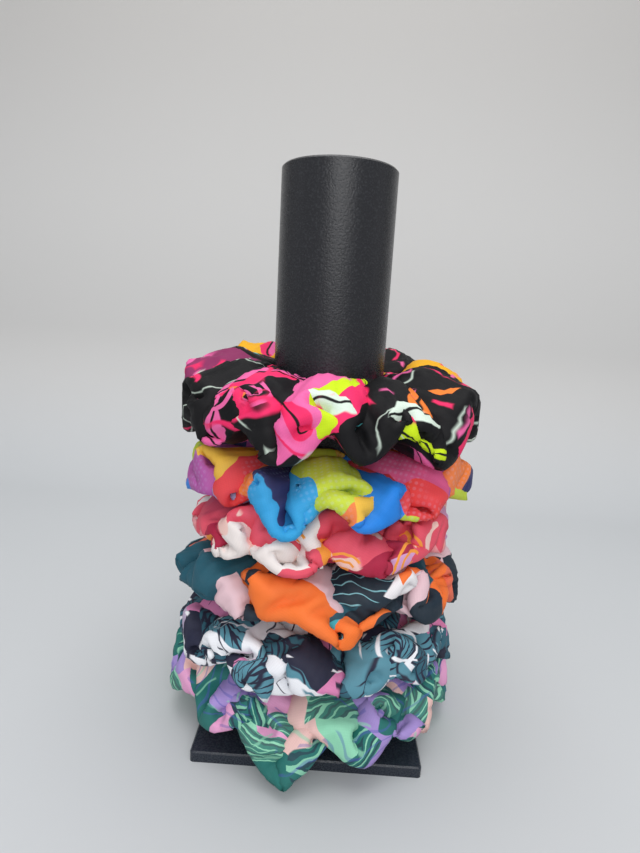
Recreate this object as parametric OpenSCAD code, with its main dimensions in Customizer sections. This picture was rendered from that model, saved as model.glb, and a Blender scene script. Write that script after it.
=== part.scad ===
// Hair tie holder: a printed post on a square base, carrying six gathered fabric hair ties.
// Each tie is a fabric tube gathered on an elastic, and lies on the tie below it.

/* [Base] */
// Side of the square base plate
base_side = 100; // [90:1:130]
// Thickness of the base plate
base_thick = 5; // [4:0.5:10]
// Radius of the plate's upright corners
base_corner = 1.5; // [0.5:0.5:6]
// Chamfer round the plate's top edge
base_chamfer = 0.6; // [0.2:0.1:1.5]
// Depth of the round seat that the post stands in
seat_depth = 2; // [1:0.5:3]
// Gap between the post's foot and the wall of its seat
seat_gap = 0.2; // [0.1:0.05:0.4]

/* [Post] */
// Outer diameter of the post
post_d = 50; // [44:1:54]
// Length of the printed post
post_len = 250; // [230:5:300]
// Wall of the post
post_wall = 2.4; // [1.6:0.4:4]
// Thickness of the post's closed top
post_top = 3; // [2:0.5:6]
// Chamfer round the post's top edge
post_chamfer = 0.8; // [0.4:0.1:2]

/* [Spigot] */
// Height of the spigot inside the post, above the plate
spigot_rise = 18; // [10:1:30]
// Wall of the ring-shaped spigot
spigot_wall = 3; // [2:0.5:5]
// Radial gap between the spigot and the post's bore
spigot_gap = 0.15; // [0.1:0.05:0.3]
// Number of webs across the inside of the spigot
spigot_webs = 3; // [2:1:4]
// Thickness of each web
web_thick = 2; // [1.2:0.2:4]

/* [Hair ties] */
// Radial gap between a tie's inner fabric and the post
tie_gap = 0.4; // [0.3:0.05:0.8]
// Thickness of the gathered fabric between the elastic and the post
lining = 1.0; // [0.8:0.1:1.5]
// Thickness of the elastic band
elastic_thick = 1.2; // [0.8:0.1:2]
// Width of the elastic band
elastic_wide = 8; // [5:0.5:9]
// Gap round the elastic in its channel
elastic_gap = 0.3; // [0.2:0.05:0.4]
// Half height of a tie where it is gathered at the post
gather_half = 6.8; // [6.5:0.1:8]
// Half thickness of the puffed edge where no neighbour presses on it
puff_half = 12; // [5:0.5:14]
// How far the edge draws in half way between two turns
draw_in = 1.5; // [0:0.5:6]
// Least gap between one tie and the next
tie_clear = 1.1; // [0.6:0.1:1.4]
// Least gap between the lowest tie and what it lies over
floor_clear = 0.4; // [0.3:0.1:1]

/* [Hidden] */
post_r = post_d / 2;
bore_r = post_r - post_wall;
seat_r = post_r + seat_gap;
seat_z = base_thick - seat_depth;
tie_r = post_r + tie_gap;
elastic_r = tie_r + lining + elastic_gap;
round_fn = 96;
around = 80;
// Shares of a tie's width where its section has points
shares = [0, 0.30, 0.66, 0.90];
// Fullness of the section at those shares, from the gathers at the post to the rounded edge
fullness = [0, 0.75, 1.0, 0.85];
// How far past the plate's side a hanging lobe starts to drop below the plate's top
edge_margin = 9;
// Least half thickness of a lobe pressed between its neighbours
pressed_half = 1.5;

// Heights of the elastics above the floor, from the lowest tie up
levels = [26, 53, 82, 104, 127, 157];

// Turns of each tie's ruffled edge: angle from the front towards the right, outer radius, and
// rise of the edge above the elastic. The edge swings up and down from one turn to the next.
green_turns = [
    [8, 63, 8], [20, 68, 0], [34, 66, 8], [48, 68, -1], [66, 64, 5], [86, 69, -7], [106, 66, 4],
    [126, 68, -7], [146, 64, 4], [166, 67, -8], [186, 65, 3], [206, 68, -7], [226, 66, 4],
    [246, 70, -4], [266, 68, 5], [284, 71, -2], [300, 66, 7], [315, 68, 0], [332, 64, 8],
    [353, 75, -14]
];
navy_turns = [
    [14, 68, 3], [30, 65, 13], [45, 68, 2], [62, 64, 8], [80, 68, -11], [98, 65, -2],
    [118, 67, -7], [138, 64, 4], [158, 68, -7], [178, 64, 4], [198, 68, -6], [218, 65, 4],
    [238, 68, -8], [256, 64, -1], [274, 67, -10], [290, 65, 2], [308, 68, 0], [324, 64, 13],
    [338, 67, 3], [356, 65, 14]
];
teal_turns = [
    [10, 70, 0], [32, 66, 11], [50, 68, 1], [68, 65, 5], [88, 69, -4], [108, 65, 5],
    [130, 67, -7], [152, 64, 4], [172, 68, -6], [194, 64, 4], [216, 68, -7], [238, 65, 3],
    [258, 67, -7], [277, 69, 1], [294, 65, -5], [310, 67, 7], [326, 64, -1], [344, 66, 10]
];
coral_turns = [
    [6, 62, 10], [27, 66, -3], [48, 63, 8], [68, 62, -2], [88, 60, 2], [110, 63, -7],
    [132, 61, 4], [154, 64, -6], [176, 60, 4], [198, 63, -6], [220, 61, 4], [242, 63, -6],
    [262, 59, 1], [280, 61, -6], [298, 60, 5], [316, 63, -2], [331, 64, 8], [351, 67, -3]
];
rainbow_turns = [
    [3, 65, 6], [14, 69, -8], [27, 66, 6], [42, 67, -5], [60, 65, 8], [80, 69, -1], [100, 66, 7],
    [122, 67, -6], [144, 65, 5], [166, 67, -7], [188, 64, 5], [210, 67, -6], [232, 64, 5],
    [254, 64, -8], [276, 62, 0], [294, 64, -5], [312, 64, 5], [323, 62, -3], [334, 64, 6],
    [350, 70, -9]
];
black_turns = [
    [2, 65, 11], [15, 65, -4], [28, 68, 10], [46, 70, -9], [64, 68, 9], [84, 69, -8],
    [102, 66, 12], [122, 67, 4], [142, 63, 18], [162, 66, 5], [182, 63, 18], [202, 66, 5],
    [222, 64, 18], [243, 66, 4], [264, 67, 16], [284, 65, -6], [300, 67, 14], [316, 68, -5],
    [331, 67, 10], [346, 69, -11]
];
ties = [green_turns, navy_turns, teal_turns, coral_turns, rainbow_turns, black_turns];

tie_names = ["green", "navy", "teal", "coral", "rainbow", "black"];
tie_colours = ["mediumseagreen", "steelblue", "darkcyan", "lightcoral", "deepskyblue", "dimgray"];

function smooth(t) = t * t * (3 - 2 * t);
function turn_before(turns, a) =
    let (behind = [for (i = [0:len(turns) - 1]) if (turns[i][0] <= a) i])
    len(behind) == 0 ? len(turns) - 1 : behind[len(behind) - 1];
// Share of the way from one turn to the next, after the turn numbered i
function way_between(turns, i, a) =
    let (from = turns[i][0], to = turns[(i + 1) % len(turns)][0])
    ((a - from + 360) % 360) / ((to - from + 360) % 360);
function between(turns, a, column) =
    let (i = turn_before(turns, a), t = smooth(way_between(turns, i, a)))
    turns[i][column] * (1 - t) + turns[(i + 1) % len(turns)][column] * t;
function reach(k, a) =
    between(ties[k], a, 1)
    - draw_in * pow(sin(180 * way_between(ties[k], turn_before(ties[k], a), a)), 2);

// Height under the lowest tie: the plate, and past the plate's side the floor
function ground(r, a) =
    r * max(abs(sin(a)), abs(cos(a))) < base_side / 2 + edge_margin
        ? base_thick + floor_clear : floor_clear;

// Height of a tie's middle surface at radius r and angle a
function middle(k, r, a) =
    let (
        share = min(1, max(0, (r - tie_r) / (reach(k, a) - tie_r))),
        free = levels[k] + between(ties[k], a, 2) * smooth(share)
    )
    k == 0 ? max(free, ground(r, a) + 2 * pressed_half) : free;

// Half thickness that the tie would take if nothing pressed on it
function loose_half(i) = gather_half * (1 - fullness[i]) + puff_half * fullness[i];
function room_above(k, r, a) =
    k == len(ties) - 1 ? puff_half
    : (middle(k + 1, r, a) - middle(k, r, a) - tie_clear) / 2;
function room_below(k, r, a) =
    k == 0 ? middle(k, r, a) - ground(r, a)
    : (middle(k, r, a) - middle(k - 1, r, a) - tie_clear) / 2;

// Section of one tie at angle a: along the top to the rounded edge, and back below
function section(k, a) =
    let (
        edge = reach(k, a),
        radii = [for (s = shares) tie_r + s * (edge - tie_r)],
        last = len(shares) - 1
    )
    concat(
        [for (i = [0:last]) [radii[i], middle(k, radii[i], a)
            + min(loose_half(i), room_above(k, radii[i], a))]],
        [[edge, middle(k, edge, a)]],
        [for (i = [last:-1:0]) [radii[i], middle(k, radii[i], a)
            - min(loose_half(i), room_below(k, radii[i], a))]]
    );

module tie_cover(k) {
    per = 2 * len(shares) + 1;
    points = [
        for (j = [0:around - 1])
            let (a = 360 * j / around)
            for (p = section(k, a)) [p[0] * sin(a), -p[0] * cos(a), p[1]]
    ];
    faces = [
        for (j = [0:around - 1], i = [0:per - 1])
            let (
                here = j * per,
                next = ((j + 1) % around) * per,
                n = (i + 1) % per
            )
            for (f = [[here + i, next + i, here + n], [here + n, next + i, next + n]]) f
    ];
    difference() {
        polyhedron(points, faces, convexity = 8);
        channel(k);
    }
}

// Closed channel in which the elastic lies
module channel(k) {
    translate([0, 0, levels[k]])
        rotate_extrude($fn = round_fn)
            translate([elastic_r - elastic_gap, -elastic_wide / 2 - elastic_gap])
                square([elastic_thick + 2 * elastic_gap, elastic_wide + 2 * elastic_gap]);
}

module elastic(k) {
    color("white")
        translate([0, 0, levels[k]])
            rotate_extrude($fn = round_fn)
                translate([elastic_r, -elastic_wide / 2])
                    square([elastic_thick, elastic_wide]);
}

module plate_outline(inset) {
    side = base_side - 2 * inset;
    reach_in = side / 2 - base_corner;
    union() {
        square([side - 2 * base_corner, side], center = true);
        square([side, side - 2 * base_corner], center = true);
        for (x = [-1, 1], y = [-1, 1])
            translate([x * reach_in, y * reach_in])
                circle(r = base_corner, $fn = 24);
    }
}

// Plate with the seat and spigot that the post stands on
module base_plate() {
    color([0.09, 0.09, 0.1]) {
        difference() {
            union() {
                linear_extrude(base_thick - base_chamfer)
                    plate_outline(0);
                hull() {
                    translate([0, 0, base_thick - base_chamfer - 0.01])
                        linear_extrude(0.01)
                            plate_outline(0);
                    translate([0, 0, base_thick - 0.01])
                        linear_extrude(0.01)
                            plate_outline(base_chamfer);
                }
            }
            translate([0, 0, seat_z])
                cylinder(r = seat_r, h = seat_depth + 1, $fn = round_fn);
        }
        spigot();
    }
}

module spigot() {
    outer = bore_r - spigot_gap;
    tall = seat_depth + spigot_rise;
    translate([0, 0, seat_z]) {
        rotate_extrude($fn = round_fn)
            polygon([
                [outer - spigot_wall, -seat_depth / 2], [outer, -seat_depth / 2],
                [outer, tall - post_chamfer], [outer - post_chamfer, tall],
                [outer - spigot_wall, tall]
            ]);
        for (i = [0:spigot_webs - 1])
            rotate([0, 0, 180 * i / spigot_webs])
                translate([-outer + spigot_wall / 2, -web_thick / 2, -seat_depth / 2])
                    cube([2 * outer - spigot_wall, web_thick, tall]);
    }
}

// Printed tube with a closed top
module post() {
    top = post_len;
    color([0.07, 0.07, 0.075])
        translate([0, 0, seat_z])
            rotate_extrude($fn = round_fn)
                polygon([
                    [bore_r, 0], [post_r, 0], [post_r, top - post_chamfer],
                    [post_r - post_chamfer, top], [0, top],
                    [0, top - post_top], [bore_r, top - post_top]
                ]);
}

base_plate();
post();
for (k = [0:len(ties) - 1]) {
    color(tie_colours[k]) tie_cover(k);
    elastic(k);
}
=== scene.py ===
"""Looks of the hair tie holder: a black printed post on its plate, with six gathered fabric ties.

Each tie is sewn as a tube, gathered on its elastic by a small cloth relaxation written here, and
confined to the room that its neighbours leave, so that it can be lifted off straight up.
"""

import math

import bpy
import numpy as np
from mathutils import Matrix, Vector


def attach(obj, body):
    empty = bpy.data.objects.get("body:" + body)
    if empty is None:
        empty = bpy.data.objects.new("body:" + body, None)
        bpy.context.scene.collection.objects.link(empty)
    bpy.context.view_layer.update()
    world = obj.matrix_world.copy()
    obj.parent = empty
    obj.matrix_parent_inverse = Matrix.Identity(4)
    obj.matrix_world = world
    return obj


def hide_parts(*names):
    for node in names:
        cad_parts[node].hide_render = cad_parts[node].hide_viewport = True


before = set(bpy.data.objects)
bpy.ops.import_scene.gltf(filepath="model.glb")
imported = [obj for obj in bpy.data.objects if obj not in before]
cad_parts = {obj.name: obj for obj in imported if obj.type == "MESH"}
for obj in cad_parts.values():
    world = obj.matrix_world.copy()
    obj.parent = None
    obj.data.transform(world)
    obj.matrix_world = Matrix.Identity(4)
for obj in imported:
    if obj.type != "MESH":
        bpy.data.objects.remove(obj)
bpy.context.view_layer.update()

MM = 0.001

# Post and plate, in millimetres
POST_R = 25.0
PLATE_HALF = 50.0
PLATE_TOP = 5.0
# How a tie lies: its gap at the post, its half thickness where it is pressed, its gap over what
# is below it, and how far past the plate's edge it is still held up by the plate
POST_GAP = 0.4
PRESSED_HALF = 1.5
FLOOR_CLEAR = 0.4
OVERHANG_MARGIN = 9.0
# Room round an elastic: from its lining to its outer side, and half its width
ELASTIC_FROM = 26.5
ELASTIC_TO = 29.0
ELASTIC_HALF = 5.2

# Ties from the lowest up: name, height of the elastic, and the turns of the ruffled edge, each
# with its angle from the front towards the right, outer radius and rise above the elastic
TIES = [
    ("green", 26, [
        (8, 63, 8), (20, 68, 0), (34, 66, 8), (48, 68, -1), (66, 64, 5), (86, 69, -7),
        (106, 66, 4), (126, 68, -7), (146, 64, 4), (166, 67, -8), (186, 65, 3), (206, 68, -7),
        (226, 66, 4), (246, 70, -4), (266, 68, 5), (284, 71, -2), (300, 66, 7), (315, 68, 0),
        (332, 64, 8), (353, 75, -14)]),
    ("navy", 53, [
        (14, 68, 3), (30, 65, 13), (45, 68, 2), (62, 64, 8), (80, 68, -11), (98, 65, -2),
        (118, 67, -7), (138, 64, 4), (158, 68, -7), (178, 64, 4), (198, 68, -6), (218, 65, 4),
        (238, 68, -8), (256, 64, -1), (274, 67, -10), (290, 65, 2), (308, 68, 0), (324, 64, 13),
        (338, 67, 3), (356, 65, 14)]),
    ("teal", 82, [
        (10, 70, 0), (32, 66, 11), (50, 68, 1), (68, 65, 5), (88, 69, -4), (108, 65, 5),
        (130, 67, -7), (152, 64, 4), (172, 68, -6), (194, 64, 4), (216, 68, -7), (238, 65, 3),
        (258, 67, -7), (277, 69, 1), (294, 65, -5), (310, 67, 7), (326, 64, -1), (344, 66, 10)]),
    ("coral", 104, [
        (6, 62, 10), (27, 66, -3), (48, 63, 8), (68, 62, -2), (88, 60, 2), (110, 63, -7),
        (132, 61, 4), (154, 64, -6), (176, 60, 4), (198, 63, -6), (220, 61, 4), (242, 63, -6),
        (262, 59, 1), (280, 61, -6), (298, 60, 5), (316, 63, -2), (331, 64, 8), (351, 67, -3)]),
    ("rainbow", 127, [
        (3, 65, 6), (14, 69, -8), (27, 66, 6), (42, 67, -5), (60, 65, 8), (80, 69, -1),
        (100, 66, 7), (122, 67, -6), (144, 65, 5), (166, 67, -7), (188, 64, 5), (210, 67, -6),
        (232, 64, 5), (254, 64, -8), (276, 62, 0), (294, 64, -5), (312, 64, 5), (323, 62, -3),
        (334, 64, 6), (350, 70, -9)]),
    ("black", 157, [
        (2, 65, 11), (15, 65, -4), (28, 68, 10), (46, 70, -9), (64, 68, 9), (84, 69, -8),
        (102, 66, 12), (122, 67, 4), (142, 63, 18), (162, 66, 5), (182, 63, 18), (202, 66, 5),
        (222, 64, 18), (243, 66, 4), (264, 67, 16), (284, 65, -6), (300, 67, 14), (316, 68, -5),
        (331, 67, 10), (346, 69, -11)]),
]

# Fabric strip of each tie, in millimetres: its cut length and the girth of the sewn tube
CUT_LENGTH = 680.0
GIRTH = 120.0
GATHERED_LENGTH = 190.0
CLOTH_THICK = 0.35
# Points of the relaxed tube along the strip and round it
ALONG = 184
ROUND = 30
# How each tie folds: half thickness that it starts with, waves of its crumpling along the strip
# and round it, their size, how hard its air presses, how stiffly it bends and how much it keeps
# to the shape that it starts from, which reaches from START_GAP off the post to START_INSET
# short of the tie's edge
FOLDS = {
    "green": (7, (44, 8), 3.0, 0.030, 0.10, 0.002),
    "navy": (7, (60, 10), 3.4, 0.025, 0.05, 0.001),
    "teal": (7, (44, 8), 2.8, 0.023, 0.08, 0.001),
    "coral": (7, (60, 10), 3.2, 0.028, 0.06, 0.001),
    "rainbow": (7, (44, 8), 2.6, 0.030, 0.10, 0.001),
    "black": (8, (60, 10), 3.6, 0.040, 0.05, 0.001),
}
START_GAP = 1.2
START_INSET = 6.5
# Seed of the lowest tie's random draws; each tie above it takes the next
FIRST_SEED = 20
# Half thickness where nothing lies above or below, and how far the cloth may pass its reach
FREE_HALF = 13.0
PAST_REACH = 4.0
SOFT_REACH = 5.0
# Gaps kept from the post, from the ground below the lowest tie, between one tie and the next,
# and between layers of one tie
CLOTH_GAP = 0.8
CLOTH_LIFT = 0.2
TIE_CLEAR = 1.1
LAYER_GAP = 2.4
# First pass: its steps, how often layers are parted and how far, the cloth's weight, and the
# farthest that a point moves in a step
STEPS = 210
PART_EVERY = 7
PART_SHARE = 0.8
WEIGHT = 0.02
FASTEST = 1.0
# Springs against bending: the points that they join, along the strip and round it, the share of
# the flat distance below which they push, and their share of the tie's bending stiffness
FOLD_BENDS = (((2, 0), 1.86, 1.0), ((0, 2), 1.80, 1.0), ((4, 0), 3.2, 0.6))
WRINKLE_BENDS = (((2, 0), 1.8, 1.0), ((0, 2), 1.9, 2.0))
# Share of its speed that a point keeps, share of a correction made at once, and the stiffness
# against shear
DAMPING = 0.90
EASING = 0.45
SHEAR = 0.25
# Second pass on a grid twice as fine: how much the cloth is too long for its folds along the
# strip and round it, the size of the first wrinkles and how many points long they are, its air,
# bending and keeping, its steps, and the farthest that a point moves in a step
WRINKLE_SLACK = (1.12, 1.06)
WRINKLE_START = 0.4
WRINKLE_RUN = 8
WRINKLE = (0.01, 0.05, 0.02)
WRINKLE_STEPS = 60
WRINKLE_FASTEST = 0.6
# Evening out that takes the zigzag from point to point and leaves the wrinkles
EVEN_OUT = (0.5, -0.53)


def smooth(t):
    return t * t * (3 - 2 * t)


def over_turns(turns, degrees, column):
    """Value of one column of a tie's turns at each angle, eased from turn to turn."""
    angle = np.array([t[0] for t in turns], float)
    value = np.array([t[column] for t in turns], float)
    angle = np.append(angle, angle[0] + 360)
    value = np.append(value, value[0])
    a = (degrees - angle[0]) % 360 + angle[0]
    i = np.clip(np.searchsorted(angle, a, side="right") - 1, 0, len(turns) - 1)
    t = smooth((a - angle[i]) / (angle[i + 1] - angle[i]))
    return value[i] * (1 - t) + value[i + 1] * t


class Slot:
    """Room between the surfaces half way to the neighbouring ties."""

    SAMPLES = 720

    def __init__(self, k):
        degrees = np.arange(self.SAMPLES) * 360 / self.SAMPLES
        self.tables = {}
        for n in (k - 1, k, k + 1):
            if 0 <= n < len(TIES):
                _, level, turns = TIES[n]
                reach = over_turns(turns, degrees, 1)
                rise = over_turns(turns, degrees, 2)
                self.tables[n] = (level, reach, rise)
        self.k = k

    def look_up(self, table, a):
        x = (np.degrees(a) % 360) * self.SAMPLES / 360
        i = x.astype(int) % self.SAMPLES
        f = x - np.floor(x)
        return table[i] * (1 - f) + table[(i + 1) % self.SAMPLES] * f

    def middle(self, n, r, a):
        level, reach, rise = self.tables[n]
        inner = POST_R + POST_GAP
        share = np.clip((r - inner) / (self.look_up(reach, a) - inner), 0, 1)
        height = level + self.look_up(rise, a) * smooth(share)
        if n == 0:
            height = np.maximum(height, self.ground(r, a) + 2 * PRESSED_HALF)
        return height

    def ground(self, r, a):
        over_plate = r * np.maximum(abs(np.sin(a)), abs(np.cos(a))) < PLATE_HALF + OVERHANG_MARGIN
        return np.where(over_plate, PLATE_TOP + FLOOR_CLEAR, FLOOR_CLEAR)

    def low(self, r, a):
        if self.k == 0:
            hanging = self.middle(0, r, a) - FREE_HALF
            return np.maximum(self.ground(r, a) + CLOTH_LIFT, hanging)
        return (self.middle(self.k, r, a) + self.middle(self.k - 1, r, a) + TIE_CLEAR) / 2

    def high(self, r, a):
        if self.k == len(TIES) - 1:
            return self.middle(self.k, r, a) + FREE_HALF
        return (self.middle(self.k, r, a) + self.middle(self.k + 1, r, a) - TIE_CLEAR) / 2


def crumpling(rng, waves, size):
    """A smooth random field over the tube, of that size."""
    along, across = waves
    spectrum = np.fft.fft2(rng.normal(0, 1, (along, across)))
    wide = np.zeros((ALONG, ROUND), complex)
    for i in range(-(along // 2), along // 2):
        for j in range(-(across // 2), across // 2):
            wide[i, j] = spectrum[i, j]
    field = np.real(np.fft.ifft2(wide))
    return size * field / field.std()


def start_shape(k, rng):
    """A flattened tube round the post that waves up and down with the tie's turns."""
    name, level, turns = TIES[k]
    half, waves, size = FOLDS[name][:3]
    s = np.arange(ALONG) / ALONG
    v = np.arange(ROUND) / ROUND
    S, V = np.meshgrid(s, v, indexing="ij")
    q = 0.5 - 0.5 * np.cos(2 * np.pi * V)
    degrees = 180 + 360 * S
    inner = POST_R + START_GAP
    out = over_turns(turns, degrees, 1) - START_INSET
    free = np.clip(q * 2, 0, 1)
    radius = inner + q * (out - inner) + crumpling(rng, waves, size) * free
    a = np.radians(degrees)
    z = level + over_turns(turns, degrees, 2) * smooth(np.clip(q * 1.3, 0, 1))
    z = z + crumpling(rng, waves, size) * free
    points = np.stack([radius * np.sin(a), -radius * np.cos(a), z], -1)
    run = np.roll(points, -1, 0) - np.roll(points, 1, 0)
    outward = np.stack([np.sin(a), -np.cos(a), 0 * a], -1)
    normal = np.cross(outward, run)
    normal /= np.linalg.norm(normal, axis=-1, keepdims=True)
    points = points + normal * (half * np.sin(2 * np.pi * V))[..., None]
    length = (GATHERED_LENGTH
              + (CUT_LENGTH - GATHERED_LENGTH) * smooth(np.clip(q / 0.5, 0, 1))) / ALONG
    return points.astype(np.float32), length.astype(np.float32)


def spring(a, b, rest, stiffness, push_only):
    """Correction of point a that brings its distance to b back to rest."""
    d = b - a
    length = np.sqrt((d * d).sum(-1)) + 1e-9
    c = (length - rest) / length
    if push_only:
        c = np.minimum(c, 0)
    return (0.5 * stiffness) * c[..., None] * d


def part_layers(points, free):
    """Pushes apart the layers of cloth that come closer than LAYER_GAP."""
    flat = points.reshape(-1, 3)
    centred = flat - flat.mean(0)
    square = (centred * centred).sum(1)
    gaps = square[:, None] + square[None, :] - 2 * (centred @ centred.T)
    i, j = np.nonzero(gaps < LAYER_GAP * LAYER_GAP)
    keep = i < j
    i, j = i[keep], j[keep]
    along = abs(i // ROUND - j // ROUND)
    along = np.minimum(along, ALONG - along)
    across = abs(i % ROUND - j % ROUND)
    across = np.minimum(across, ROUND - across)
    keep = (along > 2) | (across > 2)
    i, j = i[keep], j[keep]
    if not len(i):
        return points
    d = flat[j] - flat[i]
    length = np.linalg.norm(d, axis=1) + 1e-6
    push = ((LAYER_GAP - length) / length * 0.5)[:, None] * d
    total = np.zeros_like(flat)
    count = np.ones(len(flat), np.float32)
    np.add.at(total, i, -push)
    np.add.at(total, j, push)
    np.add.at(count, i, 1)
    np.add.at(count, j, 1)
    return points + free * (total / np.sqrt(count)[:, None]).reshape(points.shape) * PART_SHARE


def surface_normals(points):
    along = np.roll(points, -1, 0) - np.roll(points, 1, 0)
    across = np.roll(points, -1, 1) - np.roll(points, 1, 1)
    normal = np.cross(across, along)
    return normal / (np.linalg.norm(normal, axis=-1, keepdims=True) + 1e-9)


def clear_of_elastic(r, off):
    """Moves cloth out of the elastic's room: inwards to its lining, or above or below it."""
    within = (r > ELASTIC_FROM) & (r < ELASTIC_TO) & (abs(off) < ELASTIC_HALF)
    inward = within & (r - ELASTIC_FROM < ELASTIC_HALF - abs(off))
    side = np.where(off < 0, -ELASTIC_HALF, ELASTIC_HALF)
    return np.where(inward, ELASTIC_FROM, r), np.where(within & ~inward, side, off)


def confine(points, slot):
    """Keeps the cloth off the post and the elastic, within its reach and in its room."""
    level = TIES[slot.k][1]
    r = np.hypot(points[..., 0], points[..., 1])
    a = np.arctan2(points[..., 0], -points[..., 1])
    edge = slot.look_up(slot.tables[slot.k][1], a) + PAST_REACH - SOFT_REACH
    past = np.maximum(r - edge, 0)
    kept = np.minimum(r, edge) + SOFT_REACH * (1 - np.exp(-past / SOFT_REACH))
    kept = np.maximum(kept, POST_R + CLOTH_GAP)
    kept, off = clear_of_elastic(kept, points[..., 2] - level)
    points[..., :2] *= (kept / r)[..., None]
    points[..., 2] = np.clip(level + off, slot.low(kept, a), slot.high(kept, a))
    return points


def relax(points, springs, diagonal, slot, air, keep, weight, part_every, steps, fastest):
    """Lets the cloth find its folds: springs along and across it, air inside, and its slot."""
    target = points.copy()
    free = np.ones((*points.shape[:2], 1), np.float32)
    free[:, 0] = 0
    speed = np.zeros_like(points)
    for step in range(steps):
        before = points.copy()
        force = air * surface_normals(points)
        force[..., 2] -= weight
        points = points + free * (speed * DAMPING + force + keep * (target - points))
        for _ in range(2):
            moved = np.zeros_like(points)
            for shift, rest, stiffness, push_only in springs:
                other = np.roll(points, (-shift[0], -shift[1]), (0, 1))
                c = spring(points, other, rest, stiffness, push_only)
                moved += c
                moved -= np.roll(c, shift, (0, 1))
            for side in (1, -1):
                other = np.roll(points, (-1, -side), (0, 1))
                c = spring(points, other, diagonal, SHEAR, False)
                moved += c
                moved -= np.roll(c, (1, side), (0, 1))
            points = confine(points + free * moved * EASING, slot)
        if part_every and step % part_every == part_every - 1:
            points = part_layers(points, free)
        points = np.where(free > 0, points, target)
        speed = points - before
        fast = np.linalg.norm(speed, axis=-1, keepdims=True)
        speed *= np.minimum(1, fastest / (fast + 1e-9))
    return confine(points, slot)


def cloth_springs(along, across, bend, bends):
    """Springs to the next point along and round the tube, and those that resist bending."""
    springs = [((1, 0), along, 1.0, False), ((0, 1), across, 1.0, False)]
    for shift, share, stiffness in bends:
        rest = along if shift[0] else across
        springs.append((shift, share * rest, stiffness * bend, True))
    return springs


def fold(points, length, slot, air, bend, keep):
    """The large folds: the strip is far longer than its way round the post."""
    girth = np.float32(GIRTH / ROUND)
    springs = cloth_springs(length, girth, bend, FOLD_BENDS)
    diagonal = np.sqrt(length ** 2 + girth ** 2)
    return relax(points, springs, diagonal, slot, air, keep, WEIGHT, PART_EVERY, STEPS, FASTEST)


def between_points(values, axis):
    """Twice as many points along an axis, with new ones on a smooth curve between the old."""
    middle = (-np.roll(values, 1, axis) + 9 * values + 9 * np.roll(values, -1, axis)
              - np.roll(values, -2, axis)) / 16
    shape = list(values.shape)
    shape[axis] *= 2
    return np.stack([values, middle], axis + 1).reshape(shape)


def wrinkle(points, slot, rng):
    """The small wrinkles, which run across the strip from the elastic outwards."""
    rests = []
    for axis, slack in enumerate(WRINKLE_SLACK):
        now = np.linalg.norm(np.roll(points, -1, axis) - points, axis=-1)
        rests.append((now.repeat(2, 0).repeat(2, 1) / 2 * slack).astype(np.float32))
    along, across = rests
    points = between_points(between_points(points, 0), 1).astype(np.float32)
    runs = points.shape[1] // WRINKLE_RUN + 1
    ripple = rng.normal(0, 1, (points.shape[0], runs)).repeat(WRINKLE_RUN, 1)
    ripple = ripple[:, :points.shape[1]]
    for _ in range(2):
        ripple = (np.roll(ripple, 1, 1) + ripple + np.roll(ripple, -1, 1)) / 3
    points = points + surface_normals(points) * (WRINKLE_START * ripple)[..., None]
    points = points.astype(np.float32)
    air, bend, keep = WRINKLE
    springs = cloth_springs(along, across, bend, WRINKLE_BENDS)
    diagonal = np.sqrt(along ** 2 + across ** 2)
    points = relax(points, springs, diagonal, slot, air, keep, 0.0, 0, WRINKLE_STEPS,
                   WRINKLE_FASTEST)
    for share in EVEN_OUT:
        around = sum(np.roll(points, way, axis) for way in (1, -1) for axis in (0, 1)) / 4
        points = points + share * (around - points)
    return confine(points, slot)


def tie_mesh(name, points):
    """Closed tube with a fabric map in centimetres: along the strip, and round the tube."""
    along, across = points.shape[:2]
    index = np.arange(along * across).reshape(along, across)
    faces = []
    corners = []
    for i in range(along):
        for j in range(across):
            n, m = (i + 1) % along, (j + 1) % across
            faces.append((index[i, j], index[n, j], index[n, m], index[i, m]))
            corners += [(i, j), (i + 1, j), (i + 1, j + 1), (i, j + 1)]
    mesh = bpy.data.meshes.new(name)
    mesh.from_pydata((points.reshape(-1, 3) * MM).tolist(), [], faces)
    fabric = mesh.uv_layers.new(name="fabric")
    place = np.array(corners, float) * (CUT_LENGTH / 10 / along, GIRTH / 10 / across)
    fabric.data.foreach_set("uv", place.ravel())
    mesh.polygons.foreach_set("use_smooth", np.ones(len(faces), bool))
    mesh.update()
    return mesh


def make_tie(k):
    name = TIES[k][0]
    rng = np.random.default_rng(FIRST_SEED + k)
    slot = Slot(k)
    points, length = start_shape(k, rng)
    points = fold(points, length, slot, *FOLDS[name][3:])
    points = wrinkle(points, slot, rng)
    piece = bpy.data.objects.new(f"{name}_scrunchie_fabric", tie_mesh(name, points))
    bpy.context.scene.collection.objects.link(piece)
    cloth = piece.modifiers.new("cloth", "SOLIDIFY")
    cloth.thickness = CLOTH_THICK * MM
    cloth.offset = -1
    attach(piece, f"{name}_scrunchie")
    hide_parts(f"{name}_scrunchie_cover")
    return piece


def tone(red, green, blue):
    """Linear colour of a screen tone given from 0 to 255."""
    out = []
    for c in (red, green, blue):
        c /= 255
        out.append(c / 12.92 if c <= 0.04045 else ((c + 0.055) / 1.055) ** 2.4)
    return (*out, 1.0)


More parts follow.
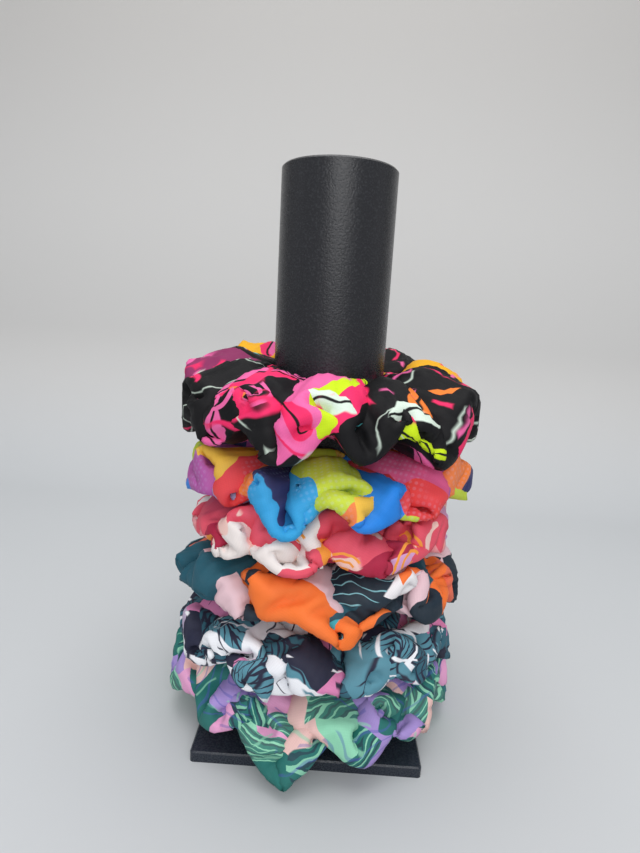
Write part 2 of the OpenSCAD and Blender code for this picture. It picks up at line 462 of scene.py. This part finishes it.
class Paint:
    """One procedural material, with short names for the nodes that it is made of."""

    def __init__(self, name, rough, specular=0.5, sheen=0.0):
        self.material = bpy.data.materials.new(name)
        self.material.use_nodes = True
        self.tree = self.material.node_tree
        self.shader = self.tree.nodes["Principled BSDF"]
        self.shader.inputs["Roughness"].default_value = rough
        self.shader.inputs["Specular IOR Level"].default_value = specular
        self.shader.inputs["Sheen Weight"].default_value = sheen
        self.shader.inputs["Sheen Roughness"].default_value = 0.5

    def node(self, kind, **settings):
        made = self.tree.nodes.new("ShaderNode" + kind)
        for key, value in settings.items():
            setattr(made, key, value)
        return made

    def put(self, socket, value):
        if isinstance(value, bpy.types.NodeSocket):
            self.tree.links.new(value, socket)
        else:
            socket.default_value = value

    def math(self, operation, a, b=0.0, c=0.0):
        made = self.node("Math", operation=operation)
        for socket, value in zip(made.inputs, (a, b, c)):
            self.put(socket, value)
        return made.outputs[0]

    def add(self, a, b):
        return self.math("ADD", a, b)

    def times(self, a, b):
        return self.math("MULTIPLY", a, b)

    def both(self, a, b):
        return self.math("MINIMUM", a, b)

    def step(self, value, edge, soft=0.02):
        """0 below the edge and 1 above it, over a narrow soft band."""
        made = self.node("MapRange", interpolation_type="SMOOTHSTEP")
        self.put(made.inputs["Value"], value)
        self.put(made.inputs["From Min"], edge - soft)
        self.put(made.inputs["From Max"], edge + soft)
        return made.outputs["Result"]

    def less(self, value, edge, soft=0.02):
        return self.math("SUBTRACT", 1.0, self.step(value, edge, soft))

    def mix(self, share, a, b):
        made = self.node("Mix", data_type="RGBA")
        self.put(made.inputs["Factor"], share)
        self.put(made.inputs["A"], a)
        self.put(made.inputs["B"], b)
        return made.outputs["Result"]

    def vector(self, operation, a, b=(0, 0, 0), c=(0, 0, 0), out=0):
        made = self.node("VectorMath", operation=operation)
        for socket, value in zip(made.inputs, (a, b, c)):
            self.put(socket, value)
        return made.outputs[out]

    def scaled(self, place, factors):
        return self.vector("MULTIPLY", place, factors)

    def noise(self, place, scale, detail=2.0, out="Fac"):
        made = self.node("TexNoise")
        self.put(made.inputs["Vector"], place)
        made.inputs["Scale"].default_value = scale
        made.inputs["Detail"].default_value = detail
        return made.outputs[out]

    def cells(self, place, scale, scatter=1.0, feature="F1"):
        made = self.node("TexVoronoi", feature=feature)
        self.put(made.inputs["Vector"], place)
        made.inputs["Scale"].default_value = scale
        made.inputs["Randomness"].default_value = scatter
        return made

    def split(self, place):
        made = self.node("SeparateXYZ")
        self.put(made.inputs[0], place)
        return made.outputs

    def ramp(self, share, stops, hard=True):
        made = self.node("ValToRGB")
        made.color_ramp.interpolation = "CONSTANT" if hard else "LINEAR"
        points = made.color_ramp.elements
        while len(points) < len(stops):
            points.new(0.5)
        for point, (place, colour) in zip(points, stops):
            point.position = place
            point.color = colour
        self.put(made.inputs["Fac"], share)
        return made.outputs["Color"]

    def bump(self, height, distance, strength=1.0, after=None):
        made = self.node("Bump")
        made.inputs["Strength"].default_value = strength
        made.inputs["Distance"].default_value = distance
        self.put(made.inputs["Height"], height)
        if after is not None:
            self.put(made.inputs["Normal"], after)
        return made.outputs["Normal"]


class Print(Paint):
    """A printed fabric: its map runs along the strip and round the tube, in centimetres."""

    LONG = CUT_LENGTH / 10
    WIDE = GIRTH / 10

    def __init__(self, name, wander=1.6, seed=0.0):
        super().__init__(name, rough=0.6, specular=0.14)
        uv = self.node("UVMap", uv_map="fabric")
        self.plain = uv.outputs["UV"]
        self.place = self.vector("ADD", self.plain, (0, 0, seed))
        shift = self.vector("SUBTRACT", self.noise(self.place, 0.34, 2.0, "Color"), (0.5, 0.5, 0.5))
        self.wavy = self.vector("MULTIPLY_ADD", shift, (2 * wander, 2 * wander, 0), self.place)
        self.x, self.y, _ = self.split(self.wavy)

    def patches(self, low, high, slant=0.0, parting=0.2):
        """Patches of colour along the strip, given as (angle where it starts, tone) from the
        front, one row on the underside and one on the top, parted by a wandering line."""
        along = self.add(self.x, self.times(self.add(self.y, -self.WIDE / 2), slant))
        share = self.times(along, 1 / self.LONG)
        rows = []
        for row in (low, high):
            stops = [(min(max(angle / 360 + 0.5, 0), 1), colour) for angle, colour in row]
            rows.append(self.ramp(share, stops))
        return self.mix(self.less(self.y, self.WIDE / 2 + parting), rows[0], rows[1])

    def rosettes(self, scale, seed):
        """Angle round the middle of each cell of the cloth, from a random start, and distance."""
        moved = self.vector("ADD", self.place, (seed, seed * 0.7, 0))
        cell = self.cells(moved, scale, 0.75)
        local = self.vector("SUBTRACT", moved, cell.outputs["Position"])
        x, y, _ = self.split(local)
        turn = self.times(self.split(cell.outputs["Color"])[0], 6.28)
        angle = self.add(self.math("ARCTAN2", y, x), turn)
        return angle, self.vector("LENGTH", local, out=1)

    def leaves(self, scale, long, wide, seed):
        """Mask of pointed leaves at random turns, with the coordinates in each leaf."""
        moved = self.vector("ADD", self.wavy, (seed, seed * 1.3, 0))
        cell = self.cells(moved, scale, 0.9)
        turned = self.node("VectorRotate", rotation_type="Z_AXIS")
        self.put(turned.inputs["Vector"], self.vector("SUBTRACT", moved, cell.outputs["Position"]))
        self.put(turned.inputs["Angle"], self.times(self.split(cell.outputs["Color"])[1], 6.28))
        x, y, _ = self.split(turned.outputs[0])
        along = self.math("DIVIDE", x, long)
        half = self.times(self.math("SUBTRACT", 1.0, self.times(along, along)), wide)
        inside = self.step(self.math("SUBTRACT", half, self.math("ABSOLUTE", y)), 0.0, 0.03)
        return inside, x, y, cell

    def lines(self, scale, width, wobble=1.0, turn=0.0, seed=0.0):
        """Mask of flowing thin lines across the cloth."""
        moved = self.vector("ADD", self.wavy, (seed, seed, seed))
        turned = self.node("VectorRotate", rotation_type="Z_AXIS")
        self.put(turned.inputs["Vector"], moved)
        turned.inputs["Angle"].default_value = turn
        x, _, _ = self.split(turned.outputs[0])
        bent = self.add(x, self.times(self.noise(moved, 0.5, 1.0), wobble))
        wave = self.math("FRACT", self.times(bent, scale))
        return self.less(self.math("ABSOLUTE", self.add(wave, -0.5)), width, 0.03)

    def finish(self, colour, weave=0.00004, fading=0.05):
        """Adds the knit's fine ribs, soft creases and a slight fading of the dye."""
        shade = self.noise(self.place, 0.9, 3.0)
        faded = self.mix(self.times(shade, fading), colour, tone(235, 232, 228))
        knit = self.cells(self.scaled(self.plain, (1.0, 0.7, 1.0)), 16.0, 0.15)
        speck = self.mix(self.times(knit.outputs["Distance"], 0.10), faded, tone(20, 20, 22))
        self.put(self.shader.inputs["Base Color"], speck)
        ribs = self.bump(knit.outputs["Distance"], weave, 0.6)
        crease = self.noise(self.scaled(self.place, (1.0, 0.45, 1.0)), 1.5, 2.0)
        self.put(self.shader.inputs["Normal"], self.bump(crease, 0.0016, 0.5, after=ribs))
        return self.material


def black_print():
    p = Print("black_print", wander=1.0, seed=3.0)
    ink = tone(10, 10, 14)
    pink = tone(236, 104, 166)
    hot = tone(240, 44, 104)
    lime = tone(200, 228, 24)
    aqua = tone(84, 182, 186)
    mint = tone(214, 230, 216)
    gold = tone(242, 178, 30)
    orange = tone(242, 128, 50)
    wine = tone(140, 48, 96)
    low = [(-180, ink), (-152, gold), (-140, ink), (-96, lime), (-88, aqua), (-84, ink),
           (-7, pink), (1, hot), (4, ink), (52, hot), (60, ink), (120, gold), (134, ink)]
    high = [(-180, gold), (-160, ink), (-148, gold), (-132, ink), (-104, wine), (-90, ink),
            (-10, pink), (1, lime), (4, hot), (6, ink), (98, gold), (116, ink), (150, orange),
            (160, ink)]
    colour = p.patches(low, high, slant=0.35)
    leaf, x, y, cell = p.leaves(0.34, 1.7, 0.44, seed=2.0)
    share = p.split(cell.outputs["Color"])[2]
    leaf_tone = p.ramp(share, [(0, pink), (0.26, hot), (0.50, mint), (0.60, aqua), (0.72, lime),
                               (0.80, orange), (0.90, pink)])
    some = p.less(p.split(cell.outputs["Color"])[0], 0.62, 0.01)
    leaf = p.both(leaf, some)
    colour = p.mix(leaf, colour, leaf_tone)
    fold = p.step(p.add(y, p.times(x, 0.10)), 0.0, 0.02)
    colour = p.mix(p.both(p.both(leaf, fold), p.less(share, 0.26, 0.01)), colour, hot)
    vein = p.both(leaf, p.less(p.math("ABSOLUTE", y), 0.05, 0.02))
    colour = p.mix(vein, colour, ink)
    _, far = p.rosettes(0.24, seed=11.0)
    ring = p.step(p.math("SINE", p.times(far, 17.0)), 0.35, 0.15)
    ring = p.both(ring, p.less(far, 1.3))
    colour = p.mix(p.both(ring, p.step(p.noise(p.place, 0.30, 0.0), 0.53, 0.01)), colour, pink)
    stroke = p.lines(0.36, 0.05, wobble=3.4, turn=0.5, seed=4.0)
    part = p.step(p.noise(p.place, 0.5, 1.0), 0.50, 0.02)
    colour = p.mix(p.both(stroke, part), colour, hot)
    arc = p.lines(0.30, 0.045, wobble=3.0, turn=1.3, seed=14.0)
    colour = p.mix(p.both(arc, p.less(p.noise(p.place, 0.5, 1.0), 0.44)), colour, pink)
    fine = p.lines(0.42, 0.014, wobble=2.4, turn=1.9, seed=9.0)
    colour = p.mix(p.both(fine, p.less(p.noise(p.place, 0.4, 1.0), 0.48)), colour, mint)
    return p.finish(colour, fading=0.015)


def rainbow_print():
    p = Print("rainbow_print", wander=1.5, seed=7.0)
    cyan = tone(44, 164, 222)
    blue = tone(26, 132, 226)
    lime = tone(204, 222, 26)
    yellow = tone(250, 196, 34)
    orange = tone(250, 132, 36)
    red = tone(240, 62, 46)
    purple = tone(184, 88, 164)
    rose = tone(226, 88, 136)
    lilac = tone(164, 178, 222)
    navy = tone(40, 40, 92)
    low = [(-180, lime), (-158, blue), (-136, orange), (-118, purple), (-98, lime), (-84, blue),
           (-68, purple), (-50, lilac), (-38, red), (-28, cyan), (2, lime), (10, orange),
           (16, blue), (34, lime), (38, red), (46, purple), (62, orange), (70, lime), (92, cyan),
           (112, red), (134, lilac), (156, cyan)]
    high = [(-180, orange), (-160, cyan), (-140, lilac), (-120, rose), (-96, navy),
            (-76, purple), (-56, yellow), (-46, red), (-34, orange), (-26, navy), (-14, cyan),
            (-2, lime), (9, yellow), (15, blue), (32, red), (48, rose), (58, orange),
            (72, navy), (80, lime), (100, blue), (124, yellow), (150, purple)]
    colour = p.patches(low, high, slant=-0.3)
    dots = p.cells(p.scaled(p.plain, (1.0, 1.0, 0)), 4.6, 0.05)
    dot = p.less(dots.outputs["Distance"], 0.26, 0.14)
    where = p.step(p.noise(p.place, 0.30, 0.0), 0.50, 0.03)
    colour = p.mix(p.times(p.both(dot, where), 0.13), colour, tone(200, 220, 250))
    wash = p.noise(p.place, 0.8, 3.0)
    colour = p.mix(p.times(wash, 0.16), colour, tone(20, 80, 170))
    return p.finish(colour)


def coral_print():
    p = Print("coral_print", wander=1.6, seed=12.0)
    coral = tone(232, 82, 104)
    blush = tone(242, 156, 162)
    crimson = tone(172, 20, 62)
    white = tone(242, 232, 228)
    orange = tone(250, 158, 58)
    lilac = tone(216, 160, 206)
    low = [(-180, coral), (-150, white), (-124, crimson), (-102, coral), (-74, blush),
           (-54, orange), (-44, white), (-12, coral), (2, orange), (7, crimson), (24, lilac),
           (32, coral), (58, blush), (70, lilac), (84, coral), (112, white), (136, orange),
           (148, coral)]
    high = [(-180, crimson), (-152, coral), (-122, orange), (-106, white), (-80, coral),
            (-56, crimson), (-38, coral), (-22, white), (-2, coral), (16, crimson),
            (30, coral), (62, orange), (76, lilac), (92, coral), (120, blush), (140, coral)]
    colour = p.patches(low, high, slant=0.5)
    spots = p.cells(p.scaled(p.wavy, (1.0, 0.72, 0)), 1.0, 0.35)
    spot = p.less(spots.outputs["Distance"], 0.27, 0.02)
    spotted = p.step(p.noise(p.place, 0.26, 0.0), 0.42, 0.02)
    colour = p.mix(p.both(spot, spotted), colour, tone(248, 206, 196))
    angle, far = p.rosettes(0.30, seed=5.0)
    arch = p.step(p.math("SINE", p.times(far, 24.0)), 0.45, 0.12)
    arch = p.both(arch, p.both(p.step(far, 0.20), p.less(far, 0.95)))
    arch = p.both(arch, p.step(p.math("SINE", angle), -0.1, 0.05))
    colour = p.mix(arch, colour, orange)
    return p.finish(colour)


def teal_print():
    p = Print("teal_print", wander=1.3, seed=17.0)
    teal = tone(18, 84, 102)
    deep = tone(12, 36, 52)
    pink = tone(226, 192, 200)
    orange = tone(246, 118, 44)
    aqua = tone(52, 178, 196)
    brick = tone(232, 110, 80)
    white = tone(238, 234, 236)
    low = [(-180, teal), (-160, pink), (-140, orange), (-124, deep), (-104, brick), (-88, teal),
           (-66, orange), (-54, teal), (-42, pink), (-31, deep), (-16, orange), (18, deep),
           (27, white), (36, pink), (46, deep), (54, orange), (68, brick), (80, deep),
           (104, orange), (124, teal), (150, aqua)]
    high = [(-180, orange), (-158, deep), (-138, aqua), (-120, teal), (-100, orange),
            (-80, teal), (-62, pink), (-50, teal), (-40, orange), (-34, white), (-28, deep),
            (-14, teal), (-6, pink), (8, aqua), (16, teal), (26, white), (42, orange),
            (56, deep), (72, orange), (84, deep), (98, pink), (118, teal), (140, brick),
            (160, white)]
    colour = p.patches(low, high, slant=-0.4, parting=-0.9)
    leaf, x, y, cell = p.leaves(0.28, 2.1, 0.85, seed=6.0)
    share = p.split(cell.outputs["Color"])[0]
    leaf_tone = p.ramp(share, [(0, teal), (0.22, orange), (0.36, deep), (0.62, pink),
                               (0.76, aqua), (0.86, teal)])
    some = p.step(p.split(cell.outputs["Color"])[2], 0.35, 0.01)
    colour = p.mix(p.both(leaf, some), colour, leaf_tone)
    dark = p.both(p.step(share, 0.36, 0.005), p.less(share, 0.62, 0.005))
    bent = p.add(y, p.times(p.times(x, x), 0.12))
    hair = p.less(p.math("ABSOLUTE", p.add(p.math("FRACT", p.times(bent, 3.2)), -0.5)), 0.06)
    hair = p.both(p.both(leaf, some), p.both(dark, hair))
    colour = p.mix(hair, colour, tone(126, 186, 196))
    return p.finish(colour)


def navy_print():
    p = Print("navy_print", wander=1.2, seed=23.0)
    navy = tone(24, 28, 56)
    steel = tone(86, 144, 162)
    teal = tone(44, 98, 116)
    white = tone(246, 247, 252)
    pink = tone(222, 132, 182)
    lilac = tone(196, 178, 206)
    low = [(-180, steel), (-160, white), (-140, navy), (-124, teal), (-104, pink), (-92, navy),
           (-74, lilac), (-60, white), (-34, navy), (-28, white), (-8, steel), (6, teal),
           (16, white), (32, steel), (44, lilac), (54, teal), (72, navy), (88, steel),
           (108, white), (130, teal), (150, pink)]
    high = [(-180, navy), (-156, steel), (-130, pink), (-118, white), (-98, navy), (-78, pink),
            (-66, navy), (-50, white), (-32, pink), (-26, white), (-10, navy), (2, pink),
            (10, steel), (24, navy), (34, white), (46, steel), (60, pink), (68, teal),
            (90, navy), (110, steel), (136, white), (156, teal)]
    colour = p.patches(low, high, slant=0.2)
    leaf, x, y, cell = p.leaves(0.30, 2.0, 0.95, seed=3.0)
    share = p.split(cell.outputs["Color"])[0]
    leaf_tone = p.ramp(share, [(0, steel), (0.3, white), (0.5, teal), (0.75, steel), (0.9, pink)])
    colour = p.mix(leaf, colour, leaf_tone)
    slant = p.add(p.times(p.math("ABSOLUTE", y), 1.6), x)
    bent = p.add(slant, p.times(p.noise(p.wavy, 1.2, 1.0), 0.35))
    wave = p.math("ABSOLUTE", p.add(p.math("FRACT", p.times(bent, 2.1)), -0.5))
    width = p.add(p.times(p.noise(p.place, 1.5, 0.0), 0.42), -0.06)
    stripe = p.step(p.math("SUBTRACT", width, wave), 0.0, 0.03)
    coloured = p.math("SUBTRACT", 1.0, p.both(p.step(share, 0.3, 0.01), p.less(share, 0.5, 0.01)))
    colour = p.mix(p.both(p.both(leaf, coloured), stripe), colour, navy)
    outline = p.both(leaf, p.less(p.math("ABSOLUTE", y), 0.06, 0.02))
    colour = p.mix(outline, colour, navy)
    open_stroke = p.lines(0.55, 0.045, wobble=2.6, turn=1.1, seed=5.0)
    part = p.step(p.noise(p.place, 0.7, 1.0), 0.50, 0.01)
    colour = p.mix(p.both(open_stroke, part), colour, navy)
    sketch = p.lines(1.7, 0.05, wobble=1.2, turn=0.3, seed=8.0)
    part = p.step(p.noise(p.place, 0.6, 1.0), 0.56, 0.01)
    colour = p.mix(p.both(sketch, part), colour, navy)
    pale = p.lines(1.3, 0.07, wobble=1.0, turn=2.0, seed=3.0)
    part = p.less(p.noise(p.place, 0.6, 1.0), 0.42, 0.01)
    colour = p.mix(p.both(pale, part), colour, white)
    return p.finish(colour)


def green_print():
    p = Print("green_print", wander=1.2, seed=31.0)
    emerald = tone(20, 110, 104)
    deep = tone(12, 58, 74)
    mint = tone(146, 216, 182)
    lilac = tone(166, 142, 208)
    pink = tone(232, 164, 206)
    peach = tone(238, 196, 190)
    blue = tone(70, 84, 176)
    low = [(-180, mint), (-160, lilac), (-142, emerald), (-122, peach), (-108, deep),
           (-92, mint), (-78, pink), (-64, emerald), (-48, pink), (-36, deep), (-24, mint),
           (-12, emerald), (-2, deep), (8, peach), (16, lilac), (24, emerald), (34, mint),
           (42, pink), (52, emerald), (64, lilac), (76, mint), (92, peach), (108, emerald),
           (130, lilac), (150, deep)]
    high = [(-180, peach), (-158, emerald), (-136, mint), (-116, pink), (-98, emerald),
            (-82, lilac), (-66, peach), (-54, emerald), (-40, lilac), (-26, pink),
            (-14, emerald), (0, peach), (10, mint), (22, lilac), (36, emerald), (48, peach),
            (60, lilac), (74, emerald), (90, pink), (106, mint), (126, deep), (148, peach)]
    colour = p.patches(low, high, slant=-0.2)
    leaf, x, y, cell = p.leaves(0.30, 2.1, 0.9, seed=8.0)
    share = p.split(cell.outputs["Color"])[0]
    leaf_tone = p.ramp(share, [(0, emerald), (0.3, deep), (0.55, mint), (0.75, emerald),
                               (0.88, lilac)])
    colour = p.mix(leaf, colour, leaf_tone)
    slant = p.add(p.times(p.math("ABSOLUTE", y), 0.9), p.times(x, 0.25))
    bent = p.add(slant, p.times(p.noise(p.wavy, 0.9, 1.0), 0.3))
    wave = p.add(p.math("FRACT", p.times(bent, 1.5)), p.times(p.noise(p.place, 3.0, 1.0), 0.12))
    streak = p.ramp(wave, [(0, mint), (0.14, emerald), (0.30, deep), (0.44, emerald),
                           (0.58, mint), (0.66, emerald), (0.84, deep), (0.97, mint)])
    green = p.math("SUBTRACT", 1.0, p.step(share, 0.88, 0.01))
    colour = p.mix(p.times(p.both(leaf, green), 0.85), colour, streak)
    stroke = p.lines(2.0, 0.09, wobble=0.6, turn=0.9, seed=2.0)
    part = p.step(p.noise(p.place, 0.5, 1.0), 0.50, 0.01)
    colour = p.mix(p.times(p.both(stroke, part), 0.45), colour, blue)
    glint = p.lines(1.1, 0.06, wobble=0.9, turn=0.4, seed=6.0)
    part = p.less(p.noise(p.place, 0.45, 1.0), 0.46, 0.01)
    colour = p.mix(p.times(p.both(glint, part), 0.6), colour, mint)
    return p.finish(colour)


def printed_plastic(name, dark, light):
    """Black filament: fine level layers, a grain that sparkles in the light with painted glints in
    a lighter grey at its peaks, and faint streaks.
    """
    p = Paint(name, rough=0.3, specular=0.36)
    place = p.node("TexCoord").outputs["Object"]
    grain = p.noise(place, 1300.0, 3.0)
    layers = p.noise(p.scaled(place, (0.06, 0.06, 1.0)), 2600.0, 1.0)
    streak = p.noise(p.scaled(place, (1.0, 1.0, 0.02)), 260.0, 2.0)
    body = p.mix(p.times(streak, 0.6), dark, light)
    # Painted glints: the grain's peaks are given a lighter grey in the colour itself
    colour = p.mix(p.times(p.step(grain, 0.60, 0.05), 0.16), body, tone(86, 90, 94))
    p.put(p.shader.inputs["Base Color"], colour)
    rough = p.add(p.times(grain, 0.36), 0.10)
    p.put(p.shader.inputs["Roughness"], rough)
    first = p.bump(layers, 0.00004, 0.6)
    second = p.bump(grain, 0.00022, 0.7, after=first)
    p.put(p.shader.inputs["Normal"], second)
    return p.material


def elastic_band():
    p = Paint("white_elastic", rough=0.8, specular=0.3, sheen=0.1)
    place = p.node("TexCoord").outputs["Object"]
    ribs = p.node("TexWave", wave_type="BANDS", bands_direction="Z")
    p.put(ribs.inputs["Vector"], place)
    ribs.inputs["Scale"].default_value = 320.0
    ribs.inputs["Distortion"].default_value = 0.4
    shade = p.mix(p.noise(place, 900.0), tone(214, 212, 206), tone(240, 239, 234))
    p.put(p.shader.inputs["Base Color"], p.mix(p.times(ribs.outputs["Fac"], 0.3), shade,
                                               tone(180, 178, 172)))
    p.put(p.shader.inputs["Normal"], p.bump(ribs.outputs["Fac"], 0.0002))
    return p.material


def dress(node, material):
    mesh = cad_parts[node].data
    mesh.materials.clear()
    mesh.materials.append(material)


PRINTS = {
    "green": green_print, "navy": navy_print, "teal": teal_print,
    "coral": coral_print, "rainbow": rainbow_print, "black": black_print,
}


def make_ties():
    band = elastic_band()
    for k, (name, _, _) in enumerate(TIES):
        piece = make_tie(k)
        piece.data.materials.append(PRINTS[name]())
        dress(f"{name}_scrunchie_elastic", band)


# Camera: place in millimetres, turns in radians, and the lens of the photograph
EYE = (2.76, -256.56, 193.51)
YAW = -0.0211
PITCH = 0.2023
ROLL = 0.0558
FRAME_HIGH = 853
FOCAL_PIXELS = 560.0
SENSOR = 36.0


def make_camera():
    forward = Vector((math.sin(YAW) * math.cos(PITCH), math.cos(YAW) * math.cos(PITCH),
                      -math.sin(PITCH)))
    right = Vector((math.cos(YAW), -math.sin(YAW), 0))
    up = right.cross(forward)
    across = math.cos(ROLL) * right + math.sin(ROLL) * up
    upward = -math.sin(ROLL) * right + math.cos(ROLL) * up
    lens = bpy.data.cameras.new("camera")
    lens.sensor_width = SENSOR
    lens.lens = FOCAL_PIXELS / FRAME_HIGH * SENSOR
    lens.clip_start = 0.005
    camera = bpy.data.objects.new("camera", lens)
    turn = Matrix((across, upward, -forward)).transposed().to_4x4()
    camera.matrix_world = Matrix.Translation(Vector(EYE) * MM) @ turn
    bpy.context.scene.collection.objects.link(camera)
    bpy.context.scene.camera = camera


def make_stage():
    """Floor that turns up into a back wall on a wide bend, in one pale sheet that carries painted
    shade.
    """
    near, bend, wall = -1.2, 0.28, 2.0
    profile = [(near, 0.0), (bend, 0.0)]
    radius = 0.16
    for i in range(1, 17):
        t = math.radians(90 * i / 16)
        profile.append((bend + radius * math.sin(t), radius * (1 - math.cos(t))))
    profile.append((bend + radius, wall))
    half = 2.5
    points = [(x, y, z) for y, z in profile for x in (-half, half)]
    faces = [(2 * i, 2 * i + 1, 2 * i + 3, 2 * i + 2) for i in range(len(profile) - 1)]
    mesh = bpy.data.meshes.new("backdrop")
    mesh.from_pydata(points, [], faces)
    mesh.polygons.foreach_set("use_smooth", np.ones(len(faces), bool))
    mesh.update()
    backdrop = bpy.data.objects.new("backdrop", mesh)
    bpy.context.scene.collection.objects.link(backdrop)
    p = Paint("pale_paper", rough=0.9, specular=0.2)
    place = p.node("TexCoord").outputs["Object"]
    height = p.split(place)[2]
    level = p.step(height, 0.05, 0.10)
    # Painted shade: the floor is given a darker, cooler grey than the wall, and the wall a darker
    # grey towards its top
    shade = p.mix(level, tone(193, 197, 200), tone(206, 205, 203))
    shade = p.mix(p.step(height, 0.42, 0.16), shade, tone(183, 181, 178))
    painted_shade_and_cloud = p.mix(p.times(p.noise(place, 3.0), 0.10), shade, tone(180, 180, 182))
    p.put(p.shader.inputs["Base Color"], painted_shade_and_cloud)
    mesh.materials.append(p.material)


def area_light(name, place, aim, size, watts):
    lamp = bpy.data.lights.new(name, "AREA")
    lamp.shape = "RECTANGLE"
    lamp.size, lamp.size_y = size
    lamp.energy = watts
    made = bpy.data.objects.new(name, lamp)
    made.location = place
    made.rotation_euler = (Vector(aim) - Vector(place)).to_track_quat("-Z", "Y").to_euler()
    bpy.context.scene.collection.objects.link(made)


def make_light():
    world = bpy.data.worlds.new("room")
    bpy.context.scene.world = world
    world.use_nodes = True
    sky = world.node_tree.nodes["Background"]
    sky.inputs["Color"].default_value = (0.96, 0.97, 1.0, 1)
    sky.inputs["Strength"].default_value = 0.60
    area_light("front", (0.05, -0.75, 0.52), (0, 0, 0.12), (0.55, 0.50), 3.0)
    area_light("top", (0, -0.05, 0.95), (0, 0, 0), (0.8, 0.8), 5.0)


def dress_holder():
    dress("post", printed_plastic("black_filament", tone(29, 30, 34), tone(40, 41, 45)))
    dress("base_plate", printed_plastic("plate_filament", tone(36, 41, 50), tone(46, 53, 64)))


bpy.context.scene.view_settings.view_transform = "Standard"
make_camera()
dress_holder()
make_ties()
make_stage()
make_light()
